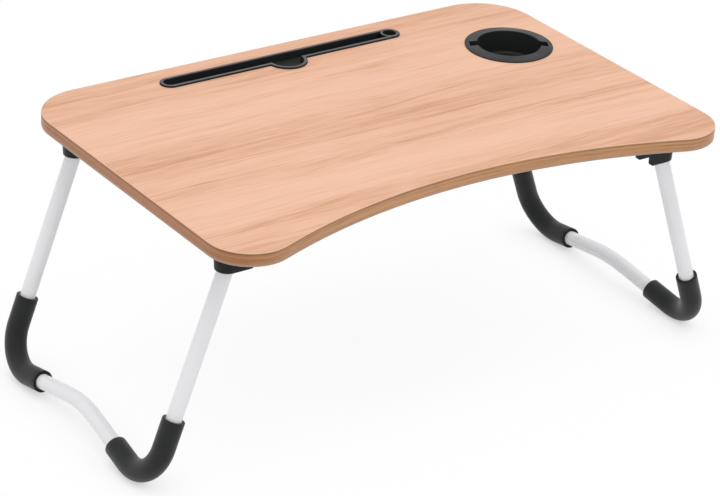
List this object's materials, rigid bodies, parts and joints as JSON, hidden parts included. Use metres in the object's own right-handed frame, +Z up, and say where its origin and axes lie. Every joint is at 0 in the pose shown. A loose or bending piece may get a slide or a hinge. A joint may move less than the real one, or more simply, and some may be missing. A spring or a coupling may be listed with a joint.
{
  "type": "laptop table",
  "caption": "Folding laptop table: a wood-look board with a scooped front edge, a tablet tray and a cup holder, on splayed tube legs that fold flat under it.",
  "frame": {"origin": "on the floor, under the middle of the board", "axes": "+X to the user's right, +Y away from the user, +Z up"},
  "size_m": [0.7006, 0.402, 0.2767],
  "materials": {
    "beech_laminate": "satin",
    "backing_sheet": "matte",
    "wood_band": "satin",
    "core_board": "matte",
    "dark_plastic": "satin",
    "black_plastic": "satin",
    "white_tube": "satin",
    "sleeve_rubber": "matte",
    "zinc_steel": "satin"
  },
  "bodies": {
    "tabletop": {"board_core": "core_board", "top_laminate": "beech_laminate", "bottom_laminate": "backing_sheet", "edge_band": "wood_band", "tablet_tray": "dark_plastic", "cup_holder": "dark_plastic", "hinge_housing_front_left": "black_plastic", "hinge_housing_rear_left": "black_plastic", "hinge_housing_front_right": "black_plastic", "hinge_housing_rear_right": "black_plastic", "pivot_pin_front_left": "zinc_steel", "pivot_pin_rear_left": "zinc_steel", "pivot_pin_front_right": "zinc_steel", "pivot_pin_rear_right": "zinc_steel", "housing_screws": "zinc_steel"},
    "left_leg": {"leg_tube_left": "white_tube", "tube_plug_front_left": "black_plastic", "tube_plug_rear_left": "black_plastic", "foot_sleeve_front_left": "sleeve_rubber", "foot_sleeve_rear_left": "sleeve_rubber"},
    "right_leg": {"leg_tube_right": "white_tube", "tube_plug_front_right": "black_plastic", "tube_plug_rear_right": "black_plastic", "foot_sleeve_front_right": "sleeve_rubber", "foot_sleeve_rear_right": "sleeve_rubber"}
  },
  "joints": [
    {"name": "left_leg_fold", "type": "hinge", "parent": "tabletop", "child": "left_leg", "pos_m": [-0.2565, 0.014, 0.24], "axis": [0, -1, 0], "range_deg": [0, 109.8]},
    {"name": "right_leg_fold", "type": "hinge", "parent": "tabletop", "child": "right_leg", "pos_m": [0.2565, 0.004, 0.24], "axis": [0, 1, 0], "range_deg": [0, 109.8]}
  ]
}
